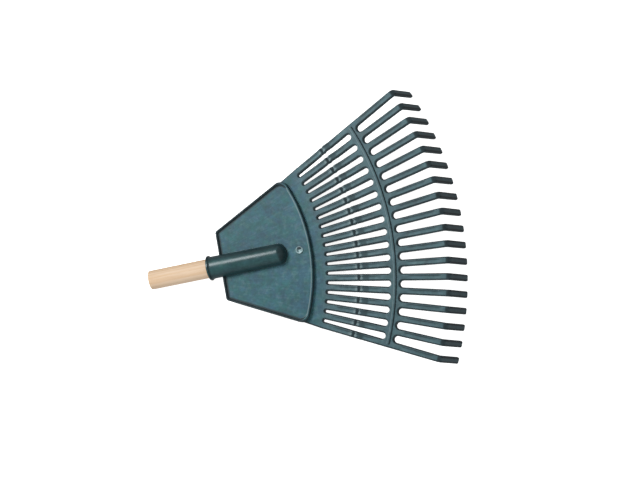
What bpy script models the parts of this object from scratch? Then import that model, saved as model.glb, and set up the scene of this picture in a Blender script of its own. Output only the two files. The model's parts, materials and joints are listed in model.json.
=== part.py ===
"""Leaf rake: a moulded plastic fan of springy tines, with a socket that holds a wooden handle.

Metres, +Z up, tines towards +X. The head is drawn flat, with all tine lines meeting at a point on
the X axis, its top face at height 0. It is then folded up behind the slots and tipped back until
it rests on its outer tine tips and on the end of its handle.
"""

import math

import bmesh
import bpy
from mathutils import Matrix, Vector

# Handle, cut square behind the socket
HANDLE_DIAMETER = 0.029
HANDLE_REACH = 0.094  # length outside the socket
HANDLE_CHAMFER = 0.0012
HANDLE_SIDES = 40

# Socket tube, with its mouth behind the hub plate
SOCKET_DEPTH = 0.105  # of the bore
SOCKET_END = 0.005  # solid between the bore and the domed nose
SOCKET_OVERHANG = 0.018  # from the hub plate's back edge to the mouth
SOCKET_RISE = 0.0025  # axis above the hub plate's face
SOCKET_WALL = 0.0021
SOCKET_TAPER = 0.0012  # loss of radius from the lip to the nose
SOCKET_NOSE = 0.0125  # length of the domed end
LIP_FLARE = 0.0021
LIP_LENGTH = 0.0024
LIP_EDGE = 0.0005
LIP_FILLET = 0.0040
MOUTH_CHAMFER = 0.0009
SOCKET_SIDES = 48
FIT_CLEARANCE = 0.0003  # between pieces that touch

# Screw through the underside of the socket into the handle
SCREW_PLACE = 0.0115  # from the socket's mouth
SCREW_DIAMETER = 0.0036
SCREW_GRIP = 0.0110  # length inside the handle
SCREW_POINT = 0.0030
SCREW_HEAD_DIAMETER = 0.0070
SCREW_HEAD_HEIGHT = 0.0022
SCREW_SIDES = 20

# Hub plate, raised above the fan
HUB_BACK = 0.0995  # back edge, from the point where the tine lines meet
HUB_LENGTH = 0.143
HUB_BACK_WIDTH = 0.1044
HUB_ARC = 0.240  # radius of the front edge
HUB_CORNER = 0.013
HUB_BACK_CORNER = 0.0045
HUB_STEP = 0.004  # face above the fan's face
HUB_DEPTH = 0.012
HUB_WALL = 0.003
HUB_BORDER = 0.022  # solid strip behind the front edge, where the fan joins
HUB_RIM_HEIGHT = 0.0034  # round border, above the plate's face
HUB_RIM_WIDTH = 0.0030
HUB_RIM_FILLET = 0.0018  # between the rim and the face
HUB_RIM_STEPS = 2  # facets in a quarter turn
HUB_ARC_STEPS = 12  # facets in half the front edge
HUB_CORNER_STEPS = 5
HUB_BACK_STEPS = 3
HUB_RIB_OFFSETS = (0.0355, 0.0725)  # cross ribs under the plate, from its back edge
HUB_RIB_THICKNESS = 0.0024
GATE_INSET = 0.019  # round moulding mark, behind the front edge
GATE_RADIUS = 0.0052
GATE_HEIGHT = 0.0009
GATE_RIM = (0.0026, 0.0037)  # inner and outer radius of its raised rim
GATE_FLOOR = 0.0003  # height inside the rim
GATE_SIDES = 24

# The fold between the hub and the fan
FOLD_LEAD = 0.0015  # begins this far ahead of the hub's front edge
FOLD_LENGTH = 0.024
FOLD_ANGLE = math.radians(6.5)
FOLD_STEPS = 4

# Slotted fan. Its arcs share a centre behind the point where the tine lines meet
TINE_COUNT = 18
TINE_STEP = math.radians(3.06)
ARC_OFFSET = 0.030
FAN_THICKNESS = 0.006
FAN_ROUND = 0.0028
TINE_WIDTH = 0.0104
FAN_ROOT = 0.0125  # hidden behind the hub's front edge
FAN_TUCK = 0.0016  # draws the fan's hidden corners in from the hub's sides
STRIP_WIDTH = 0.019  # between the hub's front edge and the slots
SLOT_LENGTH = 0.1005
BAND_WIDTH = 0.0142
STUB_LENGTH = 0.0078  # beyond the band, up to where each free tine begins
ROUND_STEPS = 3  # facets in a quarter of a slot's end
EDGE_SLACK = 1e-4  # tolerance in finding an edge by its place
LEVEL_FACE = 0.5  # a face whose normal rises less than this is a wall

# Double ripple across every tine: length of each slope, and the height where it ends
RIPPLE_OFFSET = 0.0415  # from the slots' inner ends
RIPPLE_SLOPES = ((0.0075, 0.0022), (0.0037, -0.0008), (0.0038, 0.0026), (0.0110, 0.0))

# Rib along the cross band
BAND_RIB_OFFSET = 0.0072  # from the slots' outer ends
BAND_RIB_WIDTH = 0.0046
BAND_RIB_HEIGHT = 0.0022
BAND_RIB_CREST = 0.0024  # width of its flat top
BAND_RIB_WALL = 0.0011  # height of its upright sides
BAND_RIB_SINK = 0.002

# Free tines, bent down at their tips
TINE_LENGTH = 0.070  # from the root to the bend
BEND_RADIUS = 0.007
BEND_ANGLE = math.radians(85.0)
BEND_STEPS = 4
TIP_DROP = 0.0665
TIP_WIDTH = 0.0102
TIP_THICKNESS = 0.0045
TIP_ROUND = 0.0011
FLEX_ANGLE = math.radians(10.0)  # each way, about the root
FLEX_SPARE = math.radians(0.6)

SHARP_ANGLE = math.radians(32.0)
PLASTIC = ("green_plastic", (0.050, 0.125, 0.135, 1.0), 0.48, 0.0)
WOOD = ("pale_wood", (0.700, 0.500, 0.300, 1.0), 0.60, 0.0)
STEEL = ("zinc_steel", (0.560, 0.560, 0.540, 1.0), 0.35, 1.0)

# Places along X on the middle line, from the point where the tine lines meet
HUB_FRONT = HUB_BACK + HUB_LENGTH
GATE_PLACE = HUB_FRONT - GATE_INSET
FOLD_FRONT = HUB_FRONT + FOLD_LEAD
FAN_START = HUB_FRONT - FAN_ROOT
SLOT_START = HUB_FRONT + STRIP_WIDTH
RIPPLE_START = SLOT_START + RIPPLE_OFFSET
SLOT_END = SLOT_START + SLOT_LENGTH
BAND_RIB_PLACE = SLOT_END + BAND_RIB_OFFSET
BAND_END = SLOT_END + BAND_WIDTH
STUB_END = BAND_END + STUB_LENGTH
TINE_BEND = STUB_END + TINE_LENGTH
SOCKET_MOUTH = HUB_BACK - SOCKET_OVERHANG

SOCKET_LENGTH = SOCKET_DEPTH + SOCKET_END + SOCKET_NOSE
SOCKET_AXIS = HUB_STEP + SOCKET_RISE
BORE_RADIUS = HANDLE_DIAMETER / 2 + FIT_CLEARANCE
SOCKET_RADIUS = BORE_RADIUS + SOCKET_WALL
HALF_STEP = TINE_STEP / 2
TINE_ANGLES = [(k - (TINE_COUNT - 1) / 2) * TINE_STEP for k in range(TINE_COUNT)]


def clear_scene():
    for old in list(bpy.data.objects):
        bpy.data.objects.remove(old, do_unlink=True)


def surface(name, color, roughness, metallic):
    made = bpy.data.materials.get(name) or bpy.data.materials.new(name)
    made.use_nodes = True
    shader = made.node_tree.nodes["Principled BSDF"]
    shader.inputs["Base Color"].default_value = color
    shader.inputs["Roughness"].default_value = roughness
    shader.inputs["Metallic"].default_value = metallic
    return made


def add_empty(name, parent=None, location=(0, 0, 0), rotation=(0, 0, 0)):
    empty = bpy.data.objects.new(name, None)
    empty.parent = parent
    empty.location = location
    empty.rotation_euler = rotation
    bpy.context.scene.collection.objects.link(empty)
    return empty


def add_object(name, bm, look=None, parent=None):
    """A mesh object from a bmesh, shaded smooth apart from its sharp edges."""
    bmesh.ops.recalc_face_normals(bm, faces=bm.faces[:])
    mesh = bpy.data.meshes.new(name)
    bm.to_mesh(mesh)
    bm.free()
    mesh.shade_smooth()
    mesh.set_sharp_from_angle(angle=SHARP_ANGLE)
    if look:
        mesh.materials.append(surface(*look))
    made = bpy.data.objects.new(name, mesh)
    made.parent = parent
    bpy.context.scene.collection.objects.link(made)
    return made


def add_tool(name, bm, parent=None):
    """A shape that only cuts or joins another."""
    tool = add_object(name, bm, parent=parent)
    tool.hide_render = True
    tool.display_type = "WIRE"
    return tool


def combine(target, tool, operation):
    boolean = target.modifiers.new(tool.name, "BOOLEAN")
    boolean.object = tool
    boolean.operation = operation
    boolean.solver = "EXACT"


def turned(profile, sides, height=0.0):
    """A solid turned about the X direction from (along, radius) points, with its axis at a height."""
    bm = bmesh.new()
    points = [bm.verts.new((along, 0, height + radius)) for along, radius in profile]
    edges = [bm.edges.new(pair) for pair in zip(points, points[1:])]
    bmesh.ops.spin(
        bm,
        geom=points + edges,
        cent=(0, 0, height),
        axis=(1, 0, 0),
        angle=math.tau,
        steps=sides,
    )
    bmesh.ops.remove_doubles(bm, verts=bm.verts[:], dist=1e-6)
    return bm


def prism(outline, low, high):
    """An upright solid with the given outline."""
    bm = bmesh.new()
    lower = [bm.verts.new((x, y, low)) for x, y in outline]
    upper = [bm.verts.new((x, y, high)) for x, y in outline]
    bm.faces.new(lower[::-1])
    bm.faces.new(upper)
    for i in range(len(outline)):
        bm.faces.new((lower[i - 1], lower[i], upper[i], upper[i - 1]))
    return bm


def fan_point(angle, along, across=0.0):
    return Vector(
        (
            along * math.cos(angle) - across * math.sin(angle),
            along * math.sin(angle) + across * math.cos(angle),
        )
    )


def arc_reach(place, angle):
    """How far out along a ray the fan's arc lies that crosses the X axis at the given place."""
    radius = place + ARC_OFFSET
    aside = ARC_OFFSET * math.sin(angle)
    return math.sqrt(radius**2 - aside**2) - ARC_OFFSET * math.cos(angle)


def folded(point):
    """Where a point of the flat head comes to lie when the hub is folded up."""
    x, y, z = point
    into = FOLD_FRONT - x
    if into <= 0:
        return Vector((x, y, z))
    turn = FOLD_ANGLE * min(into / FOLD_LENGTH, 1.0)
    radius = FOLD_LENGTH / FOLD_ANGLE
    past = max(into - FOLD_LENGTH, 0.0)
    back = radius * math.sin(turn) + past * math.cos(turn)
    up = radius * (1 - math.cos(turn)) + past * math.sin(turn)
    return Vector((FOLD_FRONT - back + z * math.sin(turn), y, up + z * math.cos(turn)))


# Slotted fan


def slot_end(tine, side, place, outward):
    """A quarter of a slot's round end, from the slot's middle line to the edge of one tine."""
    lean = math.sin(HALF_STEP)
    line = tine + side * HALF_STEP
    way = 1 if outward else -1
    centre = (arc_reach(place, line) + way * TINE_WIDTH / 2) / (1 + way * lean)
    radius = centre * lean - TINE_WIDTH / 2
    first = line if outward else line + math.pi
    sweep = -way * side * (math.pi / 2 + way * HALF_STEP)
    middle = fan_point(line, centre)
    points = []
    for i in range(ROUND_STEPS + 1):
        angle = first + sweep * i / ROUND_STEPS
        points.append(middle + radius * Vector((math.cos(angle), math.sin(angle))))
    return points


def ripple_stations():
    """Places and heights along a tine where the ripple changes its slope."""
    place = RIPPLE_START
    stations = [(place, 0.0)]
    for length, height in RIPPLE_SLOPES:
        place += length
        stations.append((place, height))
    return stations


def ripple_place(point):
    """Where on the middle line the fan's arc begins that crosses the point's tine beside it."""
    angle = math.atan2(point.y, point.x)
    tine = min(TINE_ANGLES, key=lambda other: abs(other - angle))
    on_tine = fan_point(tine, point.to_2d().dot(fan_point(tine, 1.0)))
    return math.hypot(on_tine.x + ARC_OFFSET, on_tine.y) - ARC_OFFSET


def ripple_height(point):
    """How far the ripple lifts the fan at a point."""
    place = ripple_place(point)
    stations = ripple_stations()
    for (first, low), (last, high) in zip(stations, stations[1:]):
        if first <= place <= last:
            return low + (high - low) * (place - first) / (last - first)
    return 0.0


def fan_side(tine, side, open_side):
    """One long edge of a tine with its share of strip and band, from the hub to the tine's root."""
    line = tine + side * HALF_STEP
    half = side * TINE_WIDTH / 2
    before = [fan_point(line, arc_reach(FAN_START, line))]
    before += slot_end(tine, side, SLOT_START, False)
    ripple = [fan_point(tine, arc_reach(place, tine), half) for place, _ in ripple_stations()]
    after = slot_end(tine, side, SLOT_END, True)[::-1]
    after += slot_end(tine, side, BAND_END, False)
    after.append(fan_point(tine, arc_reach(STUB_END, tine), half))
    if open_side:
        axis = fan_point(tine, 1.0)
        before = [fan_point(tine, point.dot(axis), half) for point in before]
        before[0] = fan_point(tine, arc_reach(FAN_START, line), half - side * FAN_TUCK)
        after = [fan_point(tine, point.dot(axis), half) for point in after]
    return before + ripple + after


def slotted_fan():
    """Strip, slotted tines and cross band as one plate, with rounded upper edges and a ripple."""
    bm = bmesh.new()
    for k, tine in enumerate(TINE_ANGLES):
        ladder = []
        for side in (-1, 1):
            edge = fan_side(tine, side, k + (side > 0) in (0, TINE_COUNT))
            ladder.append([bm.verts.new((p.x, p.y, 0)) for p in edge])
        for i in range(len(ladder[0]) - 1):
            bm.faces.new((ladder[0][i], ladder[0][i + 1], ladder[1][i + 1], ladder[1][i]))
    bmesh.ops.remove_doubles(bm, verts=bm.verts[:], dist=1e-6)
    thicken(bm)
    for vert in bm.verts:
        vert.co.z += ripple_height(vert.co)
    return bm


def thicken(bm):
    """Give a sheet its thickness downwards, and round its upper rim except across the tine roots."""
    upper = bm.faces[:]
    rim = [edge for edge in bm.edges if edge.is_boundary]
    below = {vert: bm.verts.new(vert.co - Vector((0, 0, FAN_THICKNESS))) for vert in bm.verts[:]}
    for face in upper:
        bm.faces.new([below[vert] for vert in reversed(face.verts)])
    for edge in rim:
        a, b = edge.verts
        bm.faces.new((a, b, below[b], below[a]))
    bmesh.ops.recalc_face_normals(bm, faces=bm.faces[:])
    bmesh.ops.dissolve_edges(bm, edges=[edge for edge in bm.edges if is_spare_rung(edge)])
    soft = [edge for edge in rim if not is_root_edge(edge)]
    bmesh.ops.bevel(
        bm, geom=soft, offset=FAN_ROUND, segments=2, profile=0.5, affect="EDGES"
    )


def is_spare_rung(edge):
    """Whether an edge only divides the flat strip or band, so that it isn't needed for the ripple."""
    if any(abs(face.normal.z) < LEVEL_FACE for face in edge.link_faces):
        return False
    stations = ripple_stations()
    place = ripple_place((edge.verts[0].co + edge.verts[1].co) / 2)
    return not stations[0][0] - EDGE_SLACK < place < stations[-1][0] + EDGE_SLACK


def is_root_edge(edge):
    """Whether an edge lies across a stub, where a free tine begins."""
    middle = (edge.verts[0].co + edge.verts[1].co).to_2d() / 2
    angle = math.atan2(middle.y, middle.x)
    return abs(middle.length - arc_reach(STUB_END, angle)) < EDGE_SLACK


def band_rib():
    """A low rib along the middle of the cross band."""
    bm = bmesh.new()
    reach = TINE_ANGLES[-1] + (TINE_WIDTH / 2 - 2 * FAN_ROUND) / BAND_RIB_PLACE
    steps = 2 * TINE_COUNT
    half = BAND_RIB_WIDTH / 2
    crest = BAND_RIB_CREST / 2
    section = (
        (-half, -BAND_RIB_SINK),
        (-half, BAND_RIB_WALL),
        (-crest, BAND_RIB_HEIGHT),
        (crest, BAND_RIB_HEIGHT),
        (half, BAND_RIB_WALL),
        (half, -BAND_RIB_SINK),
    )
    rings = []
    for i in range(steps + 1):
        angle = reach * (2 * i / steps - 1)
        place = arc_reach(BAND_RIB_PLACE, angle)
        ring = []
        for out, up in section:
            point = fan_point(angle, place + out)
            ring.append(bm.verts.new((point.x, point.y, up)))
        rings.append(ring)
    loft(bm, rings)
    return bm


def loft(bm, rings):
    """Walls from ring to ring, closed by a face at each end."""
    for first, second in zip(rings, rings[1:]):
        for i in range(len(first)):
            bm.faces.new((first[i - 1], first[i], second[i], second[i - 1]))
    bm.faces.new(rings[0][::-1])
    bm.faces.new(rings[-1])


# Hub plate and socket


def hub_side():
    """A point on the hub's side edge, and the edge's direction towards the outer tine."""
    back = Vector((HUB_BACK, HUB_BACK_WIDTH / 2))
    outer = TINE_ANGLES[-1]
    meets = fan_point(outer, arc_reach(SLOT_START, outer), TINE_WIDTH / 2)
    return back, (meets - back).normalized()


def arc_points(centre, radius, first, last, steps):
    points = []
    for i in range(steps + 1):
        angle = first + (last - first) * i / steps
        points.append(centre + radius * Vector((math.cos(angle), math.sin(angle))))
    return points


def hub_outline(inset, front_inset, corner):
    """The hub plate's outline, drawn in from its sides and back and from its front."""
    start, along = hub_side()
    inward = Vector((along.y, -along.x))
    start = start + inward * inset
    centre = Vector((HUB_FRONT - HUB_ARC, 0))
    radius = HUB_ARC - front_inset
    # The corner's centre lies one corner radius inside both the side and the front arc
    base = start + inward * corner - centre
    reach = radius - corner
    middle = base.dot(along)
    run = -middle + math.sqrt(middle**2 - base.length_squared + reach**2)
    hinge = centre + base + along * run
    front_angle = math.atan2(hinge.y - centre.y, hinge.x - centre.x)
    side_angle = math.atan2(-inward.y, -inward.x)
    half = arc_points(centre, radius, 0, front_angle, HUB_ARC_STEPS)
    half += arc_points(hinge, corner, front_angle, side_angle, HUB_CORNER_STEPS)[1:]
    back = HUB_BACK + inset
    # The back corner is rounded between the side edge and the back edge
    small = min(HUB_BACK_CORNER, corner)
    slide = (back + small - start.x - inward.x * small) / along.x
    heel = start + inward * small + along * slide
    half += arc_points(heel, small, side_angle, math.pi, HUB_BACK_STEPS)
    mirrored = [Vector((p.x, -p.y)) for p in half[:0:-1]]
    return half + mirrored


def rim_profile():
    """Inset and height of the plate's border: up its wall, over the rim and down to the face."""
    half = HUB_RIM_WIDTH / 2
    crest = HUB_STEP + HUB_RIM_HEIGHT - half
    points = [(0.0, HUB_STEP - HUB_DEPTH)]
    for i in range(2 * HUB_RIM_STEPS + 1):
        angle = math.pi / 2 * i / HUB_RIM_STEPS
        points.append((half * (1 - math.cos(angle)), crest + half * math.sin(angle)))
    for i in range(HUB_RIM_STEPS + 1):
        angle = math.pi / 2 * i / HUB_RIM_STEPS
        inset = HUB_RIM_WIDTH + HUB_RIM_FILLET * (1 - math.cos(angle))
        points.append((inset, HUB_STEP + HUB_RIM_FILLET * (1 - math.sin(angle))))
    return points


def hub_plate():
    """The plate with its raised rim."""
    bm = bmesh.new()
    rings = []
    for inset, height in rim_profile():
        outline = hub_outline(inset, inset, HUB_CORNER)
        rings.append([bm.verts.new((p.x, p.y, height)) for p in outline])
    loft(bm, rings)
    bmesh.ops.recalc_face_normals(bm, faces=bm.faces[:])
    return bm


def hub_hollow():
    outline = hub_outline(HUB_WALL, HUB_BORDER, HUB_CORNER)
    return prism(outline, HUB_STEP - 2 * HUB_DEPTH, HUB_STEP - HUB_WALL)


def hub_rib(place):
    """A cross rib that stiffens the plate from below, from one side wall to the other."""
    start, along = hub_side()
    width = start.y + (place - start.x) * along.y / along.x - HUB_WALL / 2
    half = HUB_RIB_THICKNESS / 2
    outline = [(place - half, -width), (place + half, -width), (place + half, width), (place - half, width)]
    return prism(outline, HUB_STEP - HUB_DEPTH + HUB_WALL / 2, HUB_STEP - HUB_WALL / 2)


def socket_tube():
    """Outside of the socket: a flared lip, a slight taper and a domed nose."""
    mouth = SOCKET_MOUTH
    lip = SOCKET_RADIUS + LIP_FLARE
    end = SOCKET_RADIUS - SOCKET_TAPER
    profile = [(mouth, 0), (mouth, lip - LIP_EDGE), (mouth + LIP_EDGE, lip)]
    for i in range(5):
        angle = math.pi / 2 * i / 4
        along = mouth + LIP_LENGTH + LIP_FILLET * (1 - math.cos(angle))
        profile.append((along, lip - LIP_FLARE * math.sin(angle)))
    for i in range(7):
        angle = math.pi / 2 * i / 6
        along = mouth + SOCKET_LENGTH - SOCKET_NOSE * (1 - math.sin(angle))
        profile.append((along, end * math.cos(angle) if i < 6 else 0))
    return turned(profile, SOCKET_SIDES, SOCKET_AXIS)


def socket_bore():
    mouth = SOCKET_MOUTH
    wide = BORE_RADIUS + MOUTH_CHAMFER
    profile = [
        (mouth - LIP_LENGTH, 0),
        (mouth - LIP_LENGTH, wide),
        (mouth, wide),
        (mouth + MOUTH_CHAMFER, BORE_RADIUS),
        (mouth + SOCKET_DEPTH, BORE_RADIUS),
        (mouth + SOCKET_DEPTH, 0),
    ]
    return turned(profile, SOCKET_SIDES, SOCKET_AXIS)


def gate_mark():
    """A low round button with a dimple, left where the mould was filled."""
    profile = (
        (-GATE_HEIGHT, 0),
        (-GATE_HEIGHT, GATE_RADIUS),
        (0, GATE_RADIUS),
        (GATE_HEIGHT, GATE_RIM[1]),
        (GATE_HEIGHT, GATE_RIM[0]),
        (GATE_FLOOR, GATE_RIM[0] / 2),
        (GATE_FLOOR, 0),
    )
    bm = turned(profile, GATE_SIDES)
    upright = Matrix.Rotation(-math.pi / 2, 4, "Y")
    bm.transform(Matrix.Translation((GATE_PLACE, 0, HUB_STEP)) @ upright)
    return bm


def screw_path(length, radius):
    """A straight hole from below the socket up to its axis side, as deep as the length given."""
    bm = turned([(0, 0), (0, radius), (length, radius), (length, 0)], SCREW_SIDES)
    bm.transform(Matrix.Rotation(-math.pi / 2, 4, "Y"))
    return bm


def rake_head(parent):
    """The whole moulding: joined and cut while flat, then folded."""
    flat = add_object("flat_head", hub_plate())
    tools = [(add_tool("hub_hollow", hub_hollow()), "DIFFERENCE")]
    for i, offset in enumerate(HUB_RIB_OFFSETS):
        tools.append((add_tool(f"hub_rib_{i}", hub_rib(HUB_BACK + offset)), "UNION"))
    tools.append((add_tool("slotted_fan", slotted_fan()), "UNION"))
    tools.append((add_tool("band_rib", band_rib()), "UNION"))
    tools.append((add_tool("socket_tube", socket_tube()), "UNION"))
    tools.append((add_tool("socket_bore", socket_bore()), "DIFFERENCE"))
    tools.append((add_tool("gate_mark", gate_mark()), "UNION"))
    hole = screw_path(SOCKET_RADIUS, SCREW_DIAMETER / 2 + FIT_CLEARANCE)
    under = SOCKET_AXIS - SOCKET_RADIUS - SOCKET_WALL
    hole.transform(Matrix.Translation((SOCKET_MOUTH + SCREW_PLACE, 0, under)))
    tools.append((add_tool("screw_hole", hole), "DIFFERENCE"))
    for tool, operation in tools:
        combine(flat, tool, operation)
    bm = bmesh.new()
    bm.from_object(flat, bpy.context.evaluated_depsgraph_get())
    for old in [flat] + [tool for tool, _ in tools]:
        bpy.data.objects.remove(old, do_unlink=True)
    for i in range(FOLD_STEPS + 1):
        place = FOLD_FRONT - FOLD_LENGTH * i / FOLD_STEPS
        bmesh.ops.bisect_plane(
            bm,
            geom=bm.verts[:] + bm.edges[:] + bm.faces[:],
            dist=1e-7,
            plane_co=(place, 0, 0),
            plane_no=(1, 0, 0),
        )
    for vert in bm.verts:
        vert.co = folded(vert.co)
    return add_object("rake_head", bm, PLASTIC, parent)


# Handle and screw, placed from the socket's mouth


def handle(parent):
    radius = HANDLE_DIAMETER / 2
    back = -HANDLE_REACH
    front = SOCKET_DEPTH - FIT_CLEARANCE
    profile = (
        (back, 0),
        (back, radius - HANDLE_CHAMFER),
        (back + HANDLE_CHAMFER, radius),
        (front - HANDLE_CHAMFER, radius),
        (front, radius - HANDLE_CHAMFER),
        (front, 0),
    )
    pole = add_object("handle", turned(profile, HANDLE_SIDES), WOOD, parent)
    depth = SCREW_GRIP + FIT_CLEARANCE
    hole = screw_path(radius + depth, SCREW_DIAMETER / 2 + FIT_CLEARANCE)
    hole.transform(Matrix.Translation((SCREW_PLACE, 0, -2 * radius)))
    combine(pole, add_tool("pilot_hole", hole, parent), "DIFFERENCE")
    return pole


def fixing_screw(parent):
    """A round-headed wood screw, pointing up into the handle."""
    shank = SCREW_DIAMETER / 2
    head = SCREW_HEAD_DIAMETER / 2
    seat = -SOCKET_RADIUS - FIT_CLEARANCE
    tip = -HANDLE_DIAMETER / 2 + SCREW_GRIP
    profile = [(seat - SCREW_HEAD_HEIGHT, 0)]
    for i in range(1, 5):
        angle = math.pi / 2 * i / 4
        profile.append((seat - SCREW_HEAD_HEIGHT * math.cos(angle), head * math.sin(angle)))
    profile += [(seat, shank), (tip - SCREW_POINT, shank), (tip, 0)]
    bm = turned(profile, SCREW_SIDES)
    bm.transform(Matrix.Rotation(-math.pi / 2, 4, "Y"))
    screw = add_object("fixing_screw", bm, STEEL, parent)
    screw.location.x = SCREW_PLACE
    return screw


# Free tines


def tine_path(length):
    """Places of the tine's upper and outer face from its root, each with its slope."""
    corner = length - BEND_RADIUS * math.tan(BEND_ANGLE / 2)
    stations = [(0.0, 0.0, 0.0)]
    for i in range(BEND_STEPS + 1):
        turn = BEND_ANGLE * i / BEND_STEPS
        along = corner + BEND_RADIUS * math.sin(turn)
        stations.append((along, -BEND_RADIUS * (1 - math.cos(turn)), turn))
    along, height, turn = stations[-1]
    last = (TIP_DROP + height) / math.sin(turn)
    for share in (last - TIP_ROUND, last):
        stations.append((along + share * math.cos(turn), height - share * math.sin(turn), turn))
    return stations


def tine_section(width, thick, rounding):
    """Section of a tine, across and down from its upper face."""
    soft = rounding * (1 - math.sqrt(0.5))
    half = width / 2
    right = [
        (half - rounding, 0),
        (half - soft, soft),
        (half, rounding),
        (half, thick / 2),
        (half, thick),
    ]
    return right + [(-across, down) for across, down in reversed(right)]


def tine_mesh(length):
    """A free tine from its root, which is at height 0 on its middle plane."""
    bm = bmesh.new()
    stations = tine_path(length)
    travel = [0.0]
    for a, b in zip(stations, stations[1:]):
        travel.append(travel[-1] + math.hypot(b[0] - a[0], b[1] - a[1]))
    rings = []
    for i, (along, height, turn) in enumerate(stations):
        share = travel[i] / travel[-1]
        pinch = TIP_ROUND if i == len(stations) - 1 else 0.0
        width = TINE_WIDTH + (TIP_WIDTH - TINE_WIDTH) * share - 2 * pinch
        thick = FAN_THICKNESS + (TIP_THICKNESS - FAN_THICKNESS) * share - 2 * pinch
        ring = []
        for across, down in tine_section(width, thick, FAN_ROUND * thick / FAN_THICKNESS):
            sink = down + pinch
            relief = 0.0
            if i == 0:
                # The root narrows to its middle line, so that it can swing both ways
                relief = abs(sink - thick / 2) * math.tan(FLEX_ANGLE + FLEX_SPARE)
            x = along - sink * math.sin(turn) + relief
            z = height - sink * math.cos(turn) + FAN_THICKNESS / 2
            ring.append(bm.verts.new((x, across, z)))
        rings.append(ring)
    for first, second in zip(rings, rings[1:]):
        for k in range(len(first)):
            bm.faces.new((first[k - 1], first[k], second[k], second[k - 1]))
    root = rings[0]
    bm.faces.new(root[0:4] + root[6:10])
    bm.faces.new(root[3:7])
    bm.faces.new(rings[-1])
    return bm


def free_tine(number, angle, parent):
    root = arc_reach(STUB_END, angle) + FIT_CLEARANCE
    made = add_object(
        f"tine_{number:02d}", tine_mesh(arc_reach(TINE_BEND, angle) - root), PLASTIC, parent
    )
    place = fan_point(angle, root)
    made.location = (place.x, place.y, -FAN_THICKNESS / 2)
    made.rotation_euler.z = angle
    return made


# Resting place


def rest_on_floor(frame, pieces):
    """Tip the rake back until tine tips and handle end are level, and centre it over the origin."""
    bpy.context.view_layer.update()
    points = [piece.matrix_world @ vert.co for piece in pieces for vert in piece.data.vertices]
    middle = sum(point.x for point in points) / len(points)
    behind = [point for point in points if point.x < middle]
    ahead = [point for point in points if point.x >= middle]
    pitch = 0.0
    for _ in range(8):
        up = Vector((math.sin(pitch), 0, math.cos(pitch)))
        heel = min(behind, key=up.dot)
        toe = min(ahead, key=up.dot)
        pitch = math.atan2(heel.z - toe.z, toe.x - heel.x)
    turn = Matrix.Rotation(-pitch, 4, "Y")
    settled = [turn @ point for point in points]
    low = [min(point[i] for point in settled) for i in range(3)]
    high = [max(point[i] for point in settled) for i in range(3)]
    frame.rotation_euler.y = -pitch
    frame.location = (-(low[0] + high[0]) / 2, -(low[1] + high[1]) / 2, -low[2])


def main():
    clear_scene()
    frame = add_empty("rake")
    mouth = folded((SOCKET_MOUTH, 0, SOCKET_AXIS))
    socket = add_empty("socket_axis", frame, mouth, (0, FOLD_ANGLE, 0))
    pieces = [rake_head(frame), handle(socket), fixing_screw(socket)]
    for k, angle in enumerate(TINE_ANGLES):
        pieces.append(free_tine(k + 1, angle, frame))
    rest_on_floor(frame, pieces)
    bpy.context.view_layer.update()


main()
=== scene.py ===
import json
import math

import bmesh
import bpy
from mathutils import Matrix, Vector


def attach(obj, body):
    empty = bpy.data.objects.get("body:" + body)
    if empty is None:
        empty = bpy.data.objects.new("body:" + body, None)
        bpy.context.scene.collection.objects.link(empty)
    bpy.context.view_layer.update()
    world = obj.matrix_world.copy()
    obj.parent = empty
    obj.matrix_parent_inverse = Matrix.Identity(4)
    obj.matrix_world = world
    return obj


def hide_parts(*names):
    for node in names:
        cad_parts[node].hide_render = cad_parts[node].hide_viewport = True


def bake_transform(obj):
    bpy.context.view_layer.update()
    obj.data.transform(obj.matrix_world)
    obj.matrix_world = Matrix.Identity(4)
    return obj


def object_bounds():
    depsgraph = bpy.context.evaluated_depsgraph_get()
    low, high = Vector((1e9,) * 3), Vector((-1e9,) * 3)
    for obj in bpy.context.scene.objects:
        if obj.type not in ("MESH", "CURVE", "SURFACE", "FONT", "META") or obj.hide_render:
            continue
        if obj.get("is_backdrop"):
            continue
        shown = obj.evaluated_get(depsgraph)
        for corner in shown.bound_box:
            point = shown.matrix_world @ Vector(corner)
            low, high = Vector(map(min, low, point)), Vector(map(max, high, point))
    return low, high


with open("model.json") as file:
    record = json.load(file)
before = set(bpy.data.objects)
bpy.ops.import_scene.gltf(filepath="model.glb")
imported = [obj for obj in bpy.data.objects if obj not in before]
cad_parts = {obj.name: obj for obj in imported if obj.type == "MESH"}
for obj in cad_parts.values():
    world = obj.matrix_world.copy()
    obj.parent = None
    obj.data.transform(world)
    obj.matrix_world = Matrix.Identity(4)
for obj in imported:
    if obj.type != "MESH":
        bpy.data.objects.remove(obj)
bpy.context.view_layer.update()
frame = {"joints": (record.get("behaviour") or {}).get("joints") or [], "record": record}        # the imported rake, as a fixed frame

scene = bpy.context.scene

fan = {
    "thickness": 0.006,
    "tineWidth": 0.0104,
    "topRound": 0.0028,
    "lowRound": 0.0005,
    "roundSteps": 6,
    "lowSteps": 2,
    "arcOffset": 0.030,     # the fan's arcs turn about a point this far behind the meeting point
    "start": 0.230,         # hidden under the hub plate
    "tuck": 0.0016,         # keeps the hidden corners inside the hub's sides
    "slotStart": 0.2615,
    "slotEnd": 0.3620,
    "slotSteps": 8,         # facets in a quarter of a slot's end
    "bandEnd": 0.3762,
    "rootGap": 0.0003,      # from a stub's end to its tine's hinge
    "dish": 0.0007,         # a tine's middle line below its edges
    "dishRise": 0.010,      # length over which the dish deepens
    "dishPitch": 0.008,     # between cuts on the plain lengths
}

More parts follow.
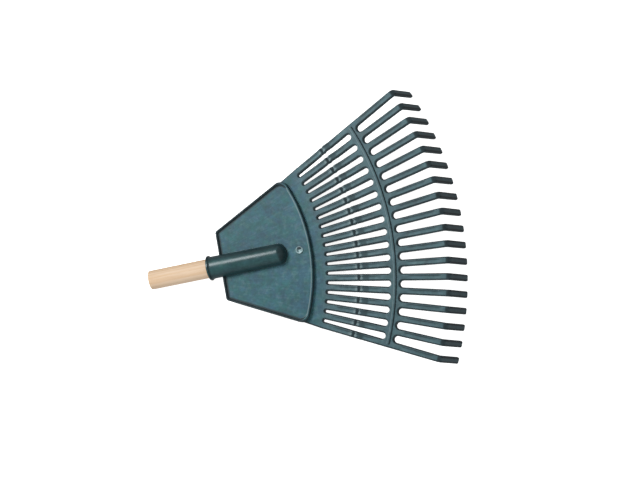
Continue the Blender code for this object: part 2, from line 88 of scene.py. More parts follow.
# The head's own frame: x towards the tines from the point where their lines meet,
# z out of the fan's upper face. It is worked out from the tines' hinges.
hinges = sorted(frame["joints"], key=lambda joint: joint["name"])
hingeSpots = [Vector(joint["pos_m"]) for joint in hinges]
hingeAxes = [Vector(joint["axis"]) for joint in hinges]
upward = hingeAxes[0].cross(hingeAxes[-1]).normalized()
across = (hingeSpots[-1] - hingeSpots[0]).normalized()
ahead = across.cross(upward)
tineWays = [axis.cross(upward).normalized() for axis in hingeAxes]
tineAngles = [math.atan2(way.dot(across), way.dot(ahead)) for way in tineWays]
halfSpan = (hingeSpots[-1] - hingeSpots[0]).length / 2
meeting = (hingeSpots[0] + hingeSpots[-1]) / 2 - ahead * (halfSpan / math.tan(tineAngles[-1]))
headPlace = Matrix.Translation(meeting + upward * (fan["thickness"] / 2))
headPlace = headPlace @ Matrix((ahead, across, upward)).transposed().to_4x4()
hingeReach = [(spot - meeting).length for spot in hingeSpots]
halfStep = (tineAngles[-1] - tineAngles[0]) / (len(hinges) - 1) / 2
print("head frame from", len(hinges), "hinges")


# Finishes

class Wire:  # a node's socket that takes part in sums
    def __init__(self, socket):
        self.socket = socket

    def add(self, kind, settings=None, inputs=None, out=0):
        node = self.socket.id_data.nodes.new(kind)
        for key, value in (settings or {}).items():
            setattr(node, key, value)
        feed(node, inputs or {})
        return Wire(node.outputs[out])

    def math(self, operation, first, second=0.0, limit=False):
        settings = {"operation": operation, "use_clamp": limit}
        return self.add("ShaderNodeMath", settings, {0: first, 1: second})

    def __add__(self, other):
        return self.math("ADD", self, other)

    def __sub__(self, other):
        return self.math("SUBTRACT", self, other)

    def __rsub__(self, other):
        return self.math("SUBTRACT", other, self)

    def __mul__(self, other):
        return self.math("MULTIPLY", self, other)

    def __truediv__(self, other):
        return self.math("DIVIDE", self, other)

    def __rtruediv__(self, other):
        return self.math("DIVIDE", other, self)

    def __pow__(self, other):
        return self.math("POWER", self, other)

    def __rpow__(self, other):
        return self.math("POWER", other, self)

    __radd__ = __add__
    __rmul__ = __mul__

    def most(self, other):
        return self.math("MAXIMUM", self, other)

    def least(self, other):
        return self.math("MINIMUM", self, other)

    def size(self):
        return self.math("ABSOLUTE", self)

    def fraction(self):
        return self.math("FRACT", self)

    def step(self, low, high):  # eases from 0 at low to 1 at high
        settings = {"interpolation_type": "SMOOTHSTEP"}
        return self.add("ShaderNodeMapRange", settings, {0: self, 1: low, 2: high})

    def vector(self, operation, inputs, out=0):
        settings = {"operation": operation}
        return self.add("ShaderNodeVectorMath", settings, {0: self, **inputs}, out)

    def dot(self, way):
        return self.vector("DOT_PRODUCT", {1: way}, "Value")

    def times(self, value):  # a colour, lighter or darker all through
        return self.vector("SCALE", {"Scale": value})

    def noise(self, scale, detail, rough=0.55, bend=0.0):
        sockets = {"Vector": self, "Scale": scale, "Detail": detail, "Roughness": rough, "Distortion": bend}
        return self.add("ShaderNodeTexNoise", None, sockets)

    def grain(self, scales, detail, rough):  # a noise with a scale of its own each way
        return self.vector("MULTIPLY", {1: scales}).noise(1.0, detail, rough)

    def tint(self, first, second):  # this socket is the share of the second colour
        settings = {"data_type": "RGBA"}
        return self.add("ShaderNodeMix", settings, {0: self, 6: first, 7: second}, 2)

    def triple(self, x, y, z):
        return self.add("ShaderNodeCombineXYZ", None, {0: x, 1: y, 2: z})

    def bump(self, strength, distance):
        sockets = {"Strength": strength, "Distance": distance, "Height": self}
        return self.add("ShaderNodeBump", None, sockets)


def newFinish(name):
    made = bpy.data.materials.new(name)
    made.use_nodes = True
    shader = made.node_tree.nodes["Principled BSDF"]
    return made, shader, Wire(shader.inputs["Base Color"])


def feed(node, values):  # links wires to a node's sockets and sets plain values
    for key, value in values.items():
        if isinstance(value, Wire):
            node.id_data.links.new(value.socket, node.inputs[key])
        else:
            node.inputs[key].default_value = value


moulded = {
    "face": (0.036, 0.101, 0.136, 1.0),     # upper faces, the lit side of the painted light and shade
    "faceGreen": (0.030, 0.110, 0.116, 1.0),
    "tine": (0.067, 0.118, 0.128, 1.0),     # the tines are greyer
    "wall": (0.029, 0.047, 0.052, 1.0),     # painted shade on side walls, roundings, tips and the underside
    "hazeAndRippleLight": (0.190, 0.250, 0.255, 1.0),   # pale patches of haze, and the painted highlight on the backs of the ripples
    "leanUp": 1.6,      # tilt of the painted shade for a lean to the side that y points to
    "leanDown": 2.2,    # to the other side
    "leanOut": 1.2,     # and outwards
    "darkFrom": 0.12,   # tilt at which the painted shade begins
    "darkTo": 0.40,
    "liftUp": 0.7,      # painted light: how a lean to the side that y points to lightens a face
    "liftDown": 0.7,    # and painted shade: how the other darkens it; below 0 it lightens too
    "frontPale": 0.45,  # painted shade on the hub's front wall, between wall and face
    # painted shadow in the corner inside the hub's rim
    "rimShadow": 1.0,
    "rough": 0.55,
    "shine": 0.30,
    "relief": 0.30,
}

# The socket tube takes the same painted light and shade, in a darker, glossier plastic
socketLook = {
    "face": (0.0205, 0.060, 0.066, 1.0),
    "faceGreen": (0.0185, 0.062, 0.060, 1.0),
    "tine": (0.020, 0.061, 0.067, 1.0),
    "wall": (0.013, 0.031, 0.034, 1.0),
    "hazeAndRippleLight": (0.034, 0.075, 0.080, 1.0),
    "leanUp": 1.6,
    "leanDown": 0.8,
    "leanOut": 2.7,
    "darkFrom": 0.10,
    "darkTo": 1.0,
    "liftUp": 0.7,
    "liftDown": -0.3,
    "frontPale": 0.0,
    "rimShadow": 0.0,
    "rough": 0.32,
    "shine": 0.38,
    "relief": 0.10,
}

# The gate mark is paler all over, a painted highlight for the glint on its rim, and glossier
gateLook = dict(moulded, rimShadow=0.0, rough=0.34, shine=0.6)
gateLook.update(face=(0.22, 0.33, 0.35, 1.0), faceGreen=(0.20, 0.33, 0.33, 1.0))

# Marks that every moulded finish shares, painted light and shade among them. A pair is where a mark begins
# and where it is full.
# Noises are scale, detail, roughness and distortion.
marks = {
    "hubEnd": (0.246, 0.250),           # reach, from the point where the tines' lines meet
    "tineStart": (0.246, 0.274),
    "tipStart": (0.40, 0.41),
    # painted shade: faces that turn downwards take the wall colour
    "upperFace": (-0.05, 0.05),
    "shiftUp": -0.22,                   # added to the painted shade's tilt of either side
    "shiftDown": 0.04,
    "hubSlack": 1 / 3,                  # share of an outward lean that doesn't count on the hub
    "frontWall": (0.2, 0.7),
    "rimCorner": (0.0042, 0.0074),      # painted shadow inside the rim, from the hub's border
    "rimEnd": (0.208, 0.220),           # the hub's front has none
    "rimDepth": 0.25,
    "flow": (16.0, 44.0),               # how often the melt's streaks vary along and across the tines
    "flowNoise": (1.0, 4.0, 0.62),
    "flowTone": 0.25,
    "cloud": (46.0, 3.0, 0.6, 0.4),
    "cloudTone": 0.70,
    "blotch": (210.0, 4.0, 0.62),
    "blotchTone": 0.60,
    "toneDepth": 1.5,
    "darkest": 0.5,
    "grain": (1900.0, 2.0, 0.5),
    "hue": (70.0, 3.0, 0.6),
    "hueTurn": (0.36, 0.64),
    "tineShare": 0.75,
    "haze": (130.0, 3.0, 0.6),
    "hazeFlow": 0.35,
    "hazeTurn": (0.47, 0.64),
    "hazeShare": 0.16,
    "tipFront": (0.60, 0.95),
    "tipMiddle": 0.70,                  # painted light down a tip's middle
    "tipEdge": (0.0014, 0.0034),        # painted shade at a tip's edges, from the middle
    "tipEdgeDepth": 1.35,
    # painted highlight on the backs of the ripples
    "rippleBack": (0.08, 0.36),
    "rippleShare": 0.9,
    "scratch": (60.0, 1500.0),          # along and across the tines
    "scratchNoise": (1.0, 2.0, 0.5),
    "scratchTurn": (0.70, 0.80),
    "scratchPatch": (38.0, 2.0),
    "patchTurn": (0.50, 0.66),
    "scratchColor": (0.26, 0.33, 0.34, 1.0),
    "scratchShare": 0.16,
    "lip": (0.004, 0.009, 0.010, 1.0),
    "lipShare": 0.95,
    "toneRough": 0.22,
    "scratchRough": 0.10,
    "grainRough": 0.10,
    "lipRough": 0.40,
    "grainHeight": 0.7,
    "blotchHeight": 0.5,
    "flowHeight": 0.5,
    "scratchHeight": -0.5,
    "bumpHeight": 0.00022,
}


def mouldedPlastic(name, look):
    made, shader, wire = newFinish(name)
    # Place on the fan
    spot = wire.add("ShaderNodeTexCoord", out="Object")
    along = spot.dot(ahead) - headPlace.translation.dot(ahead)
    aside = spot.dot(across) - headPlace.translation.dot(across)
    angle = wire.math("ARCTAN2", aside, along)
    reach = (along * along + aside * aside) ** 0.5
    onHub = 1 - reach.step(*marks["hubEnd"])
    # Lean of the face, outwards along the tines and sideways across them
    facing = wire.add("ShaderNodeNewGeometry", out="Normal")
    facingAhead, facingAside = facing.dot(ahead), facing.dot(across)
    outward = (facingAhead * along + facingAside * aside) / reach
    sideways = (facingAside * along - facingAhead * aside) / reach
    upper = facing.dot(upward).step(*marks["upperFace"])

    # Painted light and shade: upper faces are pale, and a face that leans is darker
    tilt = sideways * look["leanUp"] + marks["shiftUp"]
    tilt = tilt.most(sideways * -look["leanDown"] + marks["shiftDown"])
    tilt = tilt.most(outward * (1 - onHub * marks["hubSlack"]) * look["leanOut"])
    pale = (1 - tilt.step(look["darkFrom"], look["darkTo"])) * upper
    pale = pale.most(outward.step(*marks["frontWall"]) * onHub * upper * look["frontPale"])

    # A painted shadow darkens the corner inside the hub's rim
    start, side = hubSide()
    fromBack = spot.dot(hubAhead) - hubBack
    fromSide = (fromBack + hub["back"] - start.x) * side.y + (start.y - aside.size()) * side.x
    paintedShadow = 1 - fromBack.least(fromSide).step(*marks["rimCorner"])
    paintedShadow = paintedShadow * (1 - along.step(*marks["rimEnd"])) * look["rimShadow"]
    pale = pale * (1 - paintedShadow)

    # Clouds and blotches, and streaks where the melt flowed outwards
    flow = wire.triple(reach * marks["flow"][0], angle * marks["flow"][1], 0.0).noise(*marks["flowNoise"])
    cloud, blotch, grain = (spot.noise(*marks[key]) for key in ("cloud", "blotch", "grain"))
    tone = (cloud - 0.5) * marks["cloudTone"] + (blotch - 0.5) * marks["blotchTone"]
    tone = tone + (flow - 0.5) * marks["flowTone"]
    face = spot.noise(*marks["hue"]).step(*marks["hueTurn"]).tint(look["face"], look["faceGreen"])
    face = (reach.step(*marks["tineStart"]) * marks["tineShare"]).tint(face, look["tine"])
    haze = flow * marks["hazeFlow"] + spot.noise(*marks["haze"]) * (1 - marks["hazeFlow"])
    haze = haze.step(*marks["hazeTurn"]) * pale
    face = (haze * marks["hazeShare"]).tint(face, look["hazeAndRippleLight"])

    # Painted light down the middle of a bent tip, and painted shade along its edges
    lane = ((angle - tineAngles[0]) / (2 * halfStep) + 0.5).fraction() - 0.5
    tipEdge = (lane.size() * reach * (2 * halfStep)).step(*marks["tipEdge"])
    tipLift = marks["tipMiddle"] - tipEdge * marks["tipEdgeDepth"]
    tipLift = tipLift * outward.step(*marks["tipFront"]) * reach.step(*marks["tipStart"])
    # Painted light and shade from a face's sideways lean, with the tips' painted light
    lift = (sideways * look["liftUp"]).most(sideways * look["liftDown"]) * pale + tipLift
    value = (tone * marks["toneDepth"] + 1).most(marks["darkest"])
    value = value * (1 - paintedShadow * marks["rimDepth"]) * (1 + lift)
    color = pale.tint(look["wall"], face).times(value)

    # A painted highlight on the backs of the ripples, fine scratches in patches, and the socket's lip,
    # darkened near to black
    hazeAndRippleLight = (outward * -1).step(*marks["rippleBack"]) * pale
    color = (hazeAndRippleLight * marks["rippleShare"]).tint(color, look["hazeAndRippleLight"])
    scratch = wire.triple(reach * marks["scratch"][0], angle * marks["scratch"][1], 0.0)
    scratch = scratch.noise(*marks["scratchNoise"]).step(*marks["scratchTurn"])
    scratch = scratch * spot.noise(*marks["scratchPatch"]).step(*marks["patchTurn"]) * pale
    color = (scratch * marks["scratchShare"]).tint(color, marks["scratchColor"])
    lipEnd = socket["mouth"] + socket["lipLength"]
    lip = 1 - along.step(lipEnd, lipEnd + socket["lipLength"])
    color = (lip * marks["lipShare"]).tint(color, marks["lip"])

    rough = tone * marks["toneRough"] + scratch * marks["scratchRough"] + look["rough"]
    rough = rough + (grain - 0.5) * marks["grainRough"] + lip * marks["lipRough"]
    height = grain * marks["grainHeight"] + blotch * marks["blotchHeight"]
    height = height + flow * marks["flowHeight"] + scratch * marks["scratchHeight"]
    normal = height.bump(look["relief"], marks["bumpHeight"])
    feed(shader, {"Base Color": color, "Roughness": rough, "Normal": normal})
    feed(shader, {"Specular IOR Level": look["shine"]})
    return made


wood = {
    "pale": (0.71, 0.54, 0.39, 1.0),
    "warm": (0.60, 0.385, 0.215, 1.0),
    "fleck": (0.44, 0.27, 0.16, 1.0),
    "endGrain": (0.52, 0.37, 0.25, 1.0),
    "pith": (0.019, -0.012),            # the tree's middle, beside the handle's own
    "ringPitch": 0.0036,
    "ringDarkens": (0.15, 0.86),        # share of the pitch
    "ringEnds": (0.90, 1.0),
    "ringShare": 0.38,
    "sway": 0.0042,                     # how far the rings wander
    # Grains are a scale along the handle and two across it, detail and roughness
    "swayGrain": ((3.0, 30.0, 30.0), 3.0, 0.5),
    "fibreGrain": ((26.0, 900.0, 900.0), 4.0, 0.6),
    "fibreShare": 0.9,
    "broadGrain": ((7.0, 120.0, 120.0), 3.0, 0.55),
    "broadShare": 1.7,
    "warmShare": 0.32,
    "fleckGrain": ((60.0, 1500.0, 1500.0), 2.0, 0.5),
    "fleckTurn": (0.66, 0.78),
    "fleckShare": 0.55,
    "sawnEnd": (0.75, 0.95),
    "sawnShare": 0.75,
    "sawnRings": (0.35, 0.5),           # end grain between the rings, and what a ring adds
    "sawGrain": ((1.0, 60.0, 900.0), 2.0, 0.5),
    "rough": 0.50,
    "fibreRough": 0.16,
    "sawnRough": 0.12,
    "fibreHeight": 0.8,
    "ringHeight": 0.25,
    "fleckHeight": -0.7,
    "sawHeight": 1.2,
    "relief": 0.35,
    "bumpHeight": 0.00030,
    "shine": 0.30,
}


def bareWood(name):
    made, shader, wire = newFinish(name)
    spot = wire.add("ShaderNodeTexCoord", out="Object")
    # Year rings about the pith
    sway = spot.grain(*wood["swayGrain"]) - 0.5
    sideways = spot.dot((0, 1, 0)) - wood["pith"][0]
    upwards = spot.dot((0, 0, 1)) - wood["pith"][1]
    radius = (sideways * sideways + upwards * upwards) ** 0.5 + sway * wood["sway"]
    turns = (radius / wood["ringPitch"]).fraction()
    ring = turns.step(*wood["ringDarkens"]) * (1 - turns.step(*wood["ringEnds"]))
    # Fibres, broad bands and short dark flecks
    fibre = spot.grain(*wood["fibreGrain"])
    broad = spot.grain(*wood["broadGrain"])
    bands = (broad - 0.5) * wood["broadShare"] + (fibre - 0.5) * wood["fibreShare"] + wood["warmShare"]
    share = wire.math("ADD", ring * wood["ringShare"], bands, True)
    color = share.tint(wood["pale"], wood["warm"])
    fleck = spot.grain(*wood["fleckGrain"]).step(*wood["fleckTurn"])
    color = (fleck * wood["fleckShare"]).tint(color, wood["fleck"])
    # The sawn end
    lengthways = wire.add("ShaderNodeTexCoord", out="Normal").dot((1, 0, 0))
    sawn = lengthways.size().step(*wood["sawnEnd"])
    clear, added = wood["sawnRings"]
    endGrain = (ring * added + clear).tint(wood["pale"], wood["endGrain"])
    color = (sawn * wood["sawnShare"]).tint(color, endGrain)
    saw = spot.grain(*wood["sawGrain"]) * sawn
    rough = fibre * wood["fibreRough"] + sawn * wood["sawnRough"] + wood["rough"]
    height = fibre * wood["fibreHeight"] + ring * wood["ringHeight"]
    height = height + fleck * wood["fleckHeight"] + saw * wood["sawHeight"]
    normal = height.bump(wood["relief"], wood["bumpHeight"])
    feed(shader, {"Base Color": color, "Roughness": rough, "Normal": normal})
    feed(shader, {"Specular IOR Level": wood["shine"]})
    return made


zinc = {
    "bright": (0.66, 0.66, 0.63, 1.0),
    "dull": (0.34, 0.34, 0.32, 1.0),
    "spangle": (900.0, 4.0, 0.6),
    "spangleShare": 0.5,
    "worn": (260.0, 3.0, 0.5),
    "wornShare": 0.4,
    "rough": 0.22,
    "spangleRough": 0.25,
    "relief": 0.2,
    "bumpHeight": 0.0001,
}


def zincSteel(name):
    made, shader, wire = newFinish(name)
    spot = wire.add("ShaderNodeTexCoord", out="Object")
    spangle, worn = spot.noise(*zinc["spangle"]), spot.noise(*zinc["worn"])
    dull = spangle * zinc["spangleShare"] + worn * zinc["wornShare"]
    rough = spangle * zinc["spangleRough"] + zinc["rough"]
    color = dull.tint(zinc["bright"], zinc["dull"])
    normal = spangle.bump(zinc["relief"], zinc["bumpHeight"])
    feed(shader, {"Base Color": color, "Roughness": rough, "Normal": normal, "Metallic": 1.0})
    return made


# Mesh helpers

smoothLimit = math.cos(math.radians(34))   # faces that meet at a wider angle keep a sharp edge
levelLimit = 0.999                          # upright share of a level face's normal
merge = 1e-6                                # points nearer than this are one


def newPiece(name, bm, finish=None):
    bmesh.ops.recalc_face_normals(bm, faces=bm.faces[:])
    mesh = bpy.data.meshes.new(name)
    bm.to_mesh(mesh)
    bm.free()
    if finish:
        mesh.materials.append(finish)
    made = bpy.data.objects.new(name, mesh)
    scene.collection.objects.link(made)
    return made


def combine(target, tool, operation):
    boolean = target.modifiers.new(tool.name, "BOOLEAN")
    boolean.object = tool
    boolean.operation = operation
    boolean.solver = "EXACT"
    boolean.material_mode = "TRANSFER"


def evaluated(piece, spent):  # the piece's mesh with its modifiers; spent tools are removed
    mesh = bpy.data.meshes.new_from_object(piece.evaluated_get(bpy.context.evaluated_depsgraph_get()))
    for old in spent:
        bpy.data.objects.remove(old, do_unlink=True)
    return mesh


def shade(piece):  # smooth, apart from sharp edges; large faces weigh more, so flats stay flat
    mesh = piece.data
    mesh.shade_smooth()
    normals = [face.normal.copy() for face in mesh.polygons]
    shares = [normal * face.area for normal, face in zip(normals, mesh.polygons)]
    around = [[] for vert in mesh.vertices]
    for face in mesh.polygons:
        for vert in face.vertices:
            around[vert].append(face.index)
    corners = []
    for face in mesh.polygons:
        own = normals[face.index]
        for vert in face.vertices:
            near = [shares[k] for k in around[vert] if normals[k].dot(own) > smoothLimit]
            corners.append(sum(near, Vector()).normalized() if near else own)
    mesh.normals_split_custom_set(corners)


def turned(profile, sides, height=0.0):  # (along, radius) points spun about the x direction
    bm = bmesh.new()
    points = [bm.verts.new((along, 0, height + radius)) for along, radius in profile]
    edges = [bm.edges.new(pair) for pair in zip(points, points[1:])]
    axis = {"cent": (0, 0, height), "axis": (1, 0, 0), "angle": math.tau, "steps": sides}
    bmesh.ops.spin(bm, geom=points + edges, **axis)
    bmesh.ops.remove_doubles(bm, verts=bm.verts[:], dist=merge)
    return bm


upright = Matrix.Rotation(-math.pi / 2, 4, "Y")     # stands a turned shape on end


def soften(bm, edges, offset, segments):
    bmesh.ops.bevel(bm, geom=edges, offset=offset, segments=segments, profile=0.5, affect="EDGES")


def loft(rings):  # skins rings of points in turn and closes both ends
    bm = bmesh.new()
    loops = [[bm.verts.new(point) for point in ring] for ring in rings]
    for first, second in zip(loops, loops[1:]):
        for i in range(len(first)):
            bm.faces.new((first[i - 1], first[i], second[i], second[i - 1]))
    bm.faces.new(loops[0][::-1])
    bm.faces.new(loops[-1])
    return bm


def plate(outline, low, high):
    return loft([[(x, y, height) for x, y in outline] for height in (low, high)])


def quarter(steps):  # the angles of a quarter turn
    return [math.pi / 2 * i / steps for i in range(steps + 1)]


def arc(centre, radius, first, last, steps):
    turns = [first + (last - first) * i / steps for i in range(steps + 1)]
    return [centre + radius * Vector((math.cos(turn), math.sin(turn))) for turn in turns]


def fanPoint(angle, along, aside=0.0):
    ray = Vector((math.cos(angle), math.sin(angle)))
    return ray * along + Vector((-ray.y, ray.x)) * aside


def arcReach(place, angle):  # how far out along a ray the fan's arc through place lies
    aside = fan["arcOffset"] * math.sin(angle)
    return math.sqrt((place + fan["arcOffset"]) ** 2 - aside**2) - fan["arcOffset"] * math.cos(angle)


# Slotted fan

def slotEnd(tine, side, place, outward):  # a quarter of a slot's round end, up to one tine's edge
    lean = math.sin(halfStep)
    line = tine + side * halfStep
    way = 1 if outward else -1
    half = fan["tineWidth"] / 2
    centre = (arcReach(place, line) + way * half) / (1 + way * lean)
    first = line if outward else line + math.pi
    last = first - way * side * (math.pi / 2 + way * halfStep)
    return arc(fanPoint(line, centre), centre * lean - half, first, last, fan["slotSteps"])


ripple = {
    "start": 0.3030,
    # Length of each slope, and the height that it ends at
    "slopes": ((0.0048, 0.0008), (0.0033, 0.0022), (0.0034, -0.0008), (0.0037, 0.0026), (0.0110, 0.0)),
    "soft": 0.0012,         # half the length over which one slope turns into the next
    "softSteps": 5,
    "step": 0.0009,
}


def rippleLine(place):  # straight slopes
    here, height = ripple["start"], 0.0
    for length, nextHeight in ripple["slopes"]:
        if here <= place < here + length:
            return height + (nextHeight - height) * (place - here) / length
        here, height = here + length, nextHeight
    return 0.0


def rippleHeight(place):  # the same, eased where one slope turns into the next
    steps = ripple["softSteps"]
    reads = [rippleLine(place + ripple["soft"] * i / steps) for i in range(-steps, steps + 1)]
    return sum(reads) / len(reads)


def between(first, last, pitch):  # even places from first up to, but not at, last
    count = max(round((last - first) / pitch), 1)
    return [first + (last - first) * i / count for i in range(count)]


def tineStations():  # places of the cuts across a tine, from slot end to slot end
    first, last = fan["slotStart"] + fan["dishRise"], fan["slotEnd"] - fan["dishRise"]
    rippleFirst = ripple["start"] - ripple["soft"]
    rippleLast = ripple["start"] + sum(length for length, height in ripple["slopes"]) + ripple["soft"]
    stations = between(first, rippleFirst, fan["dishPitch"])
    stations += between(rippleFirst, rippleLast, ripple["step"])
    return stations + between(rippleLast, last, fan["dishPitch"]) + [last]


def dishDepth(run, length):  # grows from either end of a dished length
    share = max(min(run, length - run, fan["dishRise"]), 0.0) / fan["dishRise"]
    return fan["dish"] * share**2 * (3 - 2 * share)


def fanSide(number, side):  # one long edge of a tine with its share of strip and band
    tine = tineAngles[number]
    line = tine + side * halfStep
    half = side * fan["tineWidth"] / 2
    before = [fanPoint(line, arcReach(fan["start"], line))]
    before += slotEnd(tine, side, fan["slotStart"], False)
    middle = [fanPoint(tine, arcReach(place, tine), half) for place in tineStations()]
    after = slotEnd(tine, side, fan["slotEnd"], True)[::-1]
    after += slotEnd(tine, side, fan["bandEnd"], False)
    after.append(fanPoint(tine, hingeReach[number] - fan["rootGap"], half))
    if number + (side > 0) in (0, len(hinges)):  # the fan's own outer edges run straight
        ray = fanPoint(tine, 1.0)
        before = [fanPoint(tine, point.dot(ray), half) for point in before]
        before[0] = fanPoint(tine, arcReach(fan["start"], line), half - side * fan["tuck"])
        after = [fanPoint(tine, point.dot(ray), half) for point in after]
    return before + middle + after


def onTine(point):  # the nearest tine, and how far out along it a point lies
    angle = math.atan2(point.y, point.x)
    number = min(range(len(hinges)), key=lambda k: abs(tineAngles[k] - angle))
    return number, point.to_2d().dot(fanPoint(tineAngles[number], 1.0))


def arcPlace(point):  # the place of the fan's arc that crosses the point's tine beside the point
    number, reach = onTine(point)
    return (fanPoint(tineAngles[number], reach) + Vector((fan["arcOffset"], 0))).length - fan["arcOffset"]


def isRoot(edge):  # whether an edge lies across a stub, where a free tine carries on
    number, reach = onTine((edge.verts[0].co + edge.verts[1].co) / 2)
    return abs(reach - hingeReach[number] + fan["rootGap"]) < 10 * merge


def slottedFan():
    bm = bmesh.new()
    for number in range(len(hinges)):
        rails = [[bm.verts.new((*point, 0)) for point in fanSide(number, side)] for side in (-1, 1)]
        for i in range(len(rails[0]) - 1):
            bm.faces.new((rails[0][i], rails[0][i + 1], rails[1][i + 1], rails[1][i]))
    bmesh.ops.remove_doubles(bm, verts=bm.verts[:], dist=merge)
    upper = bm.faces[:]
    rim = [edge for edge in bm.edges if edge.is_boundary]
    down = Vector((0, 0, -fan["thickness"]))
    below = {vert: bm.verts.new(vert.co + down) for vert in bm.verts[:]}
    for face in upper:
        bm.faces.new([below[vert] for vert in reversed(face.verts)])
    topRim, lowRim = [], []
    for edge in rim:
        a, b = edge.verts
        bm.faces.new((a, b, below[b], below[a]))
        if not isRoot(edge):
            topRim.append(edge)
            lowRim.append(bm.edges.get((below[a], below[b])))
    bmesh.ops.recalc_face_normals(bm, faces=bm.faces[:])
    # Strip and band become plain flats; the rungs across the tines stay
    stations = tineStations()
    first, last, slack = stations[0], stations[-1], 100 * merge
    rungs = [edge for edge in bm.edges if all(abs(face.normal.z) > levelLimit for face in edge.link_faces)]
    places = [arcPlace((edge.verts[0].co + edge.verts[1].co) / 2) for edge in rungs]
    spare = [edge for edge, place in zip(rungs, places) if not first - slack < place < last + slack]
    bmesh.ops.dissolve_edges(bm, edges=spare)
    soften(bm, topRim, fan["topRound"], fan["roundSteps"])
    soften(bm, lowRim, fan["lowRound"], fan["lowSteps"])
    # A cut along the middle of each tine makes the bottom of its dish
    tops = [face for face in bm.faces if face.normal.z > levelLimit and len(face.verts) == 4]
    for number, angle in enumerate(tineAngles):
        lane = [face for face in tops if onTine(face.calc_center_median())[0] == number]
        lane = [face for face in lane if first < arcPlace(face.calc_center_median()) < last]
        geom = list({part for face in lane for part in (*face.verts, *face.edges)}) + lane
        plane = {"plane_co": (0, 0, 0), "plane_no": (-math.sin(angle), math.cos(angle), 0)}
        cut = bmesh.ops.bisect_plane(bm, geom=geom, dist=merge, **plane)["geom_cut"]
        for vert in cut:
            if isinstance(vert, bmesh.types.BMVert):
                vert.co.z -= dishDepth(arcPlace(vert.co) - first, last - first)
    for vert in bm.verts:
        vert.co.z += rippleHeight(arcPlace(vert.co))
    return bm


bandRib = {
    "place": 0.3692,
    "width": 0.0046,
    "height": 0.0022,
    "sink": 0.002,
    "square": 0.55,     # 1 is an ellipse, less is squarer
    "steps": 16,
    "stepsPerTine": 6,
}


def bandRibMesh():
    spare = (fan["tineWidth"] / 2 - 2 * fan["topRound"]) / bandRib["place"]
    reach = tineAngles[-1] + spare
    half = bandRib["width"] / 2
    section = [(-half, -bandRib["sink"])]
    for i in range(bandRib["steps"] + 1):
        turn = math.pi * i / bandRib["steps"]
        out = -math.copysign(abs(math.cos(turn)) ** bandRib["square"], math.cos(turn)) * half
        section.append((out, bandRib["height"] * max(math.sin(turn), 0.0) ** bandRib["square"]))
    section.append((half, -bandRib["sink"]))
    count = bandRib["stepsPerTine"] * len(hinges)
    rings = []
    for i in range(count + 1):
        angle = reach * (2 * i / count - 1)
        place = arcReach(bandRib["place"], angle)
        rings.append([(*fanPoint(angle, place + out), rise) for out, rise in section])
    return loft(rings)


# Hub plate and socket

hub = {
    "back": 0.0995,
    "front": 0.2425,
    "backWidth": 0.1044,
    "frontArc": 0.240,
    "corner": 0.013,
    "backCorner": 0.0045,
    "step": 0.004,          # face above the fan's face
    "depth": 0.012,
    "wall": 0.003,
    "border": 0.022,
    "rimHeight": 0.0034,    # the border stands above the face
    "rimWidth": 0.0030,
    "rimFillet": 0.0018,
    "rimSteps": 6,
    "ribPlaces": (0.135, 0.172),
    "ribThickness": 0.0024,
    "arcSteps": 36,
    "cornerSteps": 12,
}

fold = {"front": 0.244, "length": 0.024, "angle": math.radians(6.5), "steps": 10}

socket = {
    "mouth": 0.0815,
    "length": 0.1225,
    "depth": 0.105,
    "rise": 0.0025,         # axis above the hub's face
    "bore": 0.0148,
    "wall": 0.0021,
    "taper": 0.0012,
    "nose": 0.0125,
    "lipFlare": 0.0019,
    "lipLength": 0.0024,
    "lipEdge": 0.0006,
    "lipFillet": 0.0040,
    "lipSteps": (4, 8),     # round the lip's edge, and down to the tube
    "mouthChamfer": 0.0009,
    "noseSteps": 14,
    "footFillet": 0.0015,
    "footSink": 0.0008,     # hidden in the tube and the plate
    "footBite": 0.0001,     # the fillet's edges go in this far too
    "footSteps": 6,
    "footRuns": 8,          # along the tube's straight sides
    "footNoseSteps": 40,
    "sides": 112,
}
socketHeight = hub["step"] + socket["rise"]
socketRadius = socket["bore"] + socket["wall"]

gate = {
    "place": 0.2235,
    "radius": 0.0060,
    "height": 0.0011,
    "wall": 0.0001,
    "rim": (0.0042, 0.0053),    # inner and outer radius of its flat top
    "rimSteps": 4,
    "floor": 0.0003,
    "floorShare": 0.6,          # of the rim's inner radius
    "sides": 40,
}

screw = {
    "place": 0.0115,        # from the socket's mouth
    "radius": 0.0018,
    "grip": 0.011,
    "point": 0.003,
    "headRadius": 0.0035,
    "headHeight": 0.0022,
    "headSteps": 8,
    "recessDepth": 0.0013,
    "recessReach": 0.0020,
    "recessWidth": 0.0007,
    "gap": 0.0003,
    "sides": 32,
}


def hubSide():
    back = Vector((hub["back"], hub["backWidth"] / 2))
    outer = tineAngles[-1]
    meets = fanPoint(outer, arcReach(fan["slotStart"], outer), fan["tineWidth"] / 2)
    return back, (meets - back).normalized()


